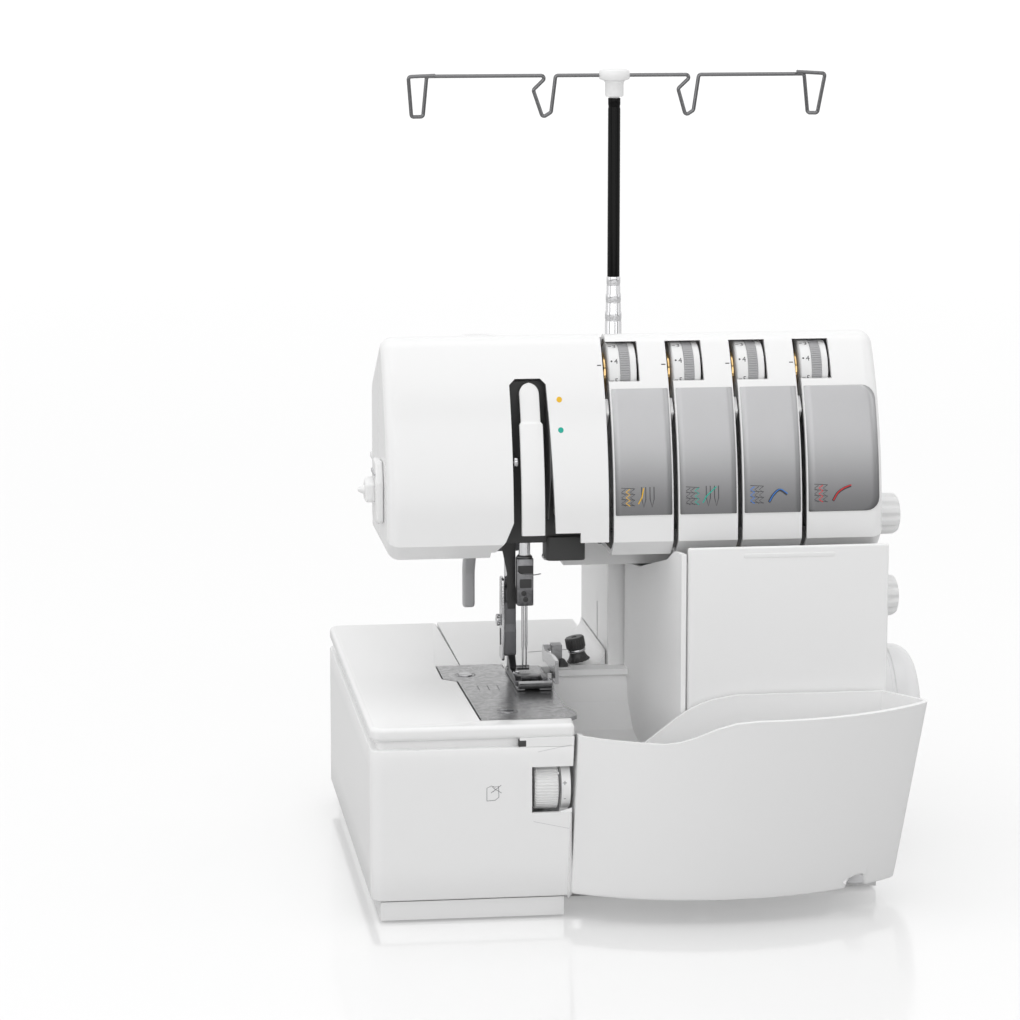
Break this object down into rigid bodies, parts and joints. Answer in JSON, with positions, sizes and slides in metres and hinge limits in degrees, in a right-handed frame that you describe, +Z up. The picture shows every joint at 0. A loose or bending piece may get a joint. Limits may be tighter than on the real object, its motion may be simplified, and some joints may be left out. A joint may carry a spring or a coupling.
{
  "type": "serger overlock machine",
  "caption": "Domestic overlock sewing machine with tension dials, telescopic thread stand, slide-on table, looper cover and clip-on waste bin.",
  "frame": {"origin": "middle of the footprint, on the surface the machine stands on", "axes": "+Z up, +Y towards the back of the machine, +X towards the handwheel"},
  "size_m": [0.325, 0.3396, 0.4375],
  "materials": {
    "shell_white": "gloss",
    "bin_white": "satin",
    "base_white": "satin",
    "rubber": "matt",
    "casting": "cast",
    "silver": "fine grain, satin",
    "steel": "polished",
    "brass": "polished",
    "dark_metal": "satin dark",
    "plate_metal": "satin",
    "dial_white": "satin",
    "handwheel_white": "gloss",
    "grey_plastic": "satin",
    "black_plastic": "satin",
    "belt_rubber": "matt",
    "motor_metal": "satin",
    "pulley_metal": "turned",
    "tray_plastic": "satin",
    "mast_chrome": "mirror",
    "wire": "bright"
  },
  "bodies": {
    "machine": {"base_plate": "base_white", "rubber_feet": "rubber", "frame_casting": "casting", "column_housing": "shell_white", "head_front_cover": "shell_white", "head_rear_cover": "shell_white", "tension_cover": "shell_white", "silver_inlays": "silver", "tension_posts": "steel", "tension_discs": "brass", "take_up_guard": "shell_white", "lamp": "black_plastic", "thread_cutter": "shell_white", "free_arm_cover": "shell_white", "bed_cover": "shell_white", "stitch_plate": "plate_metal", "plate_screws": "steel", "lower_knife": "steel", "waste_chute": "shell_white", "power_socket": "black_plastic", "drive_belt": "belt_rubber", "motor": "motor_metal", "spool_tray": "tray_plastic", "cone_holders": "tray_plastic", "mast_tube_1": "mast_chrome"},
    "table": {"slide_on_table": "shell_white"},
    "width_dial": {"cutting_width_dial": "dial_white"},
    "tension_1": {"tension_dial_1": "dial_white"},
    "tension_2": {"tension_dial_2": "dial_white"},
    "tension_3": {"tension_dial_3": "dial_white"},
    "tension_4": {"tension_dial_4": "dial_white"},
    "take_up": {"take_up_lever": "steel"},
    "needle_unit": {"needle_bar": "steel", "needle_clamp": "dark_metal", "needles": "steel"},
    "presser_unit": {"presser_bar": "steel", "presser_shank": "dark_metal", "presser_foot": "dark_metal", "presser_screw": "steel"},
    "lifter": {"presser_lifter": "grey_plastic"},
    "pressure": {"pressure_dial": "dial_white"},
    "feed": {"feed_dogs": "steel"},
    "moving_knife": {"upper_knife": "steel"},
    "knife_release": {"knife_knob": "dark_metal"},
    "looper_upper": {"upper_looper": "steel"},
    "looper_lower": {"lower_looper": "steel"},
    "cover_slide": {"cover_rod": "steel"},
    "cover": {"looper_cover": "shell_white"},
    "bin": {"waste_bin": "bin_white"},
    "length_dial": {"stitch_length_dial": "dial_white"},
    "feed_dial": {"differential_feed_dial": "dial_white"},
    "drive": {"handwheel": "handwheel_white", "main_shaft": "steel"},
    "rotor": {"motor_pulley": "pulley_metal"},
    "mast_lower": {"mast_tube_2": "mast_chrome"},
    "mast_middle": {"mast_tube_3": "mast_chrome"},
    "mast_top": {"mast_tube_4": "mast_chrome"},
    "wire_guide": {"mast_cap": "shell_white", "guide_bar": "wire"},
    "switch": {"power_switch": "black_plastic"}
  },
  "joints": [
    {"name": "table_slide", "type": "slide", "parent": "machine", "child": "table", "axis": [-1, 0, 0], "range_m": [0, 0.11]},
    {"name": "cutting_width", "type": "hinge", "parent": "machine", "child": "width_dial", "pos_m": [-0.0685, -0.11665, 0.0705], "axis": [1, 0, 0], "range_deg": [-110, 110]},
    {"name": "tension_turn_1", "type": "hinge", "parent": "machine", "child": "tension_1", "pos_m": [-0.0184, -0.04325, 0.28], "axis": [1, 0, 0], "range_deg": [-130, 130]},
    {"name": "tension_turn_2", "type": "hinge", "parent": "machine", "child": "tension_2", "pos_m": [0.01675, -0.04325, 0.28], "axis": [1, 0, 0], "range_deg": [-130, 130]},
    {"name": "tension_turn_3", "type": "hinge", "parent": "machine", "child": "tension_3", "pos_m": [0.0519, -0.04325, 0.28], "axis": [1, 0, 0], "range_deg": [-130, 130]},
    {"name": "tension_turn_4", "type": "hinge", "parent": "machine", "child": "tension_4", "pos_m": [0.08705, -0.04325, 0.28], "axis": [1, 0, 0], "range_deg": [-130, 130]},
    {"name": "take_up_swing", "type": "hinge", "parent": "machine", "child": "take_up", "pos_m": [-0.0665, -0.03825, 0.239], "axis": [1, 0, 0], "range_deg": [-14, 14]},
    {"name": "needle_stroke", "type": "slide", "parent": "machine", "child": "needle_unit", "axis": [0, 0, 1], "range_m": [-0.025, 0]},
    {"name": "lifter_swing", "type": "hinge", "parent": "machine", "child": "lifter", "pos_m": [-0.0931, -0.00025, 0.198], "axis": [1, 0, 0], "range_deg": [0, 30]},
    {"name": "presser_lift", "type": "slide", "parent": "machine", "child": "presser_unit", "axis": [0, 0, 1], "range_m": [0, 0.006]},
    {"name": "pressure_turn", "type": "hinge", "parent": "machine", "child": "pressure", "pos_m": [-0.0922, -0.02225, 0.294], "axis": [0, 0, 1], "range_deg": [-150, 150]},
    {"name": "feed_stroke", "type": "slide", "parent": "machine", "child": "feed", "axis": [0, 1, 0], "range_m": [-0.0015, 0.0015]},
    {"name": "knife_swing", "type": "hinge", "parent": "machine", "child": "moving_knife", "pos_m": [-0.0465, 0.01675, 0.113], "axis": [-1, 0, 0], "range_deg": [0, 10]},
    {"name": "knife_release_turn", "type": "hinge", "parent": "machine", "child": "knife_release", "pos_m": [-0.03, 0.02075, 0.1074], "axis": [-0.1908, 0, 0.9816], "range_deg": [0, 90]},
    {"name": "upper_looper_swing", "type": "hinge", "parent": "machine", "child": "looper_upper", "pos_m": [-0.063, -0.02025, 0.042], "axis": [0, 1, 0], "range_deg": [-7, 7]},
    {"name": "lower_looper_swing", "type": "hinge", "parent": "machine", "child": "looper_lower", "pos_m": [-0.0835, -0.01025, 0.04], "axis": [0, 1, 0], "range_deg": [-8, 8]},
    {"name": "cover_shift", "type": "slide", "parent": "machine", "child": "cover_slide", "axis": [1, 0, 0], "range_m": [0, 0.008]},
    {"name": "bin_pull", "type": "slide", "parent": "machine", "child": "bin", "axis": [0, -1, 0], "range_m": [0, 0.23]},
    {"name": "cover_fold", "type": "hinge", "parent": "cover_slide", "child": "cover", "pos_m": [0.0595, -0.09225, 0.022], "axis": [1, 0, 0], "range_deg": [0, 80]},
    {"name": "stitch_length_turn", "type": "hinge", "parent": "machine", "child": "length_dial", "pos_m": [0.1315, -0.02525, 0.1965], "axis": [1, 0, 0], "range_deg": [-120, 120]},
    {"name": "differential_feed_turn", "type": "hinge", "parent": "machine", "child": "feed_dial", "pos_m": [0.1315, -0.02525, 0.15], "axis": [1, 0, 0], "range_deg": [-120, 120]},
    {"name": "handwheel_turn", "type": "hinge", "parent": "machine", "child": "drive", "pos_m": [0.1315, 0.00475, 0.078], "axis": [1, 0, 0], "continuous": true},
    {"name": "motor_turn", "type": "hinge", "parent": "machine", "child": "rotor", "pos_m": [0.1095, 0.07475, 0.05], "axis": [1, 0, 0], "continuous": true},
    {"name": "mast_lower_slide", "type": "slide", "parent": "machine", "child": "mast_lower", "axis": [0, 0, 1], "range_m": [0, 0.09]},
    {"name": "mast_middle_slide", "type": "slide", "parent": "mast_lower", "child": "mast_middle", "axis": [0, 0, 1], "range_m": [0, 0.09]},
    {"name": "mast_top_slide", "type": "slide", "parent": "mast_middle", "child": "mast_top", "axis": [0, 0, 1], "range_m": [-0.098, 0]},
    {"name": "wire_guide_turn", "type": "hinge", "parent": "mast_top", "child": "wire_guide", "pos_m": [0.0017, 0.10175, 0.43], "axis": [0, 0, 1], "range_deg": [-90, 90]},
    {"name": "power_rock", "type": "hinge", "parent": "machine", "child": "switch", "pos_m": [0.1205, 0.07875, 0.092], "axis": [0, 1, 0], "range_deg": [-5, 5]}
  ],
  "couplings": [
    {"joint": "lifter_swing", "follows": "presser_lift", "rad_per_m": 87.26},
    {"joint": "cover_fold", "follows": "bin_pull", "rad_per_m": 6.0707},
    {"joint": "motor_turn", "follows": "handwheel_turn", "ratio": 2.6667}
  ]
}
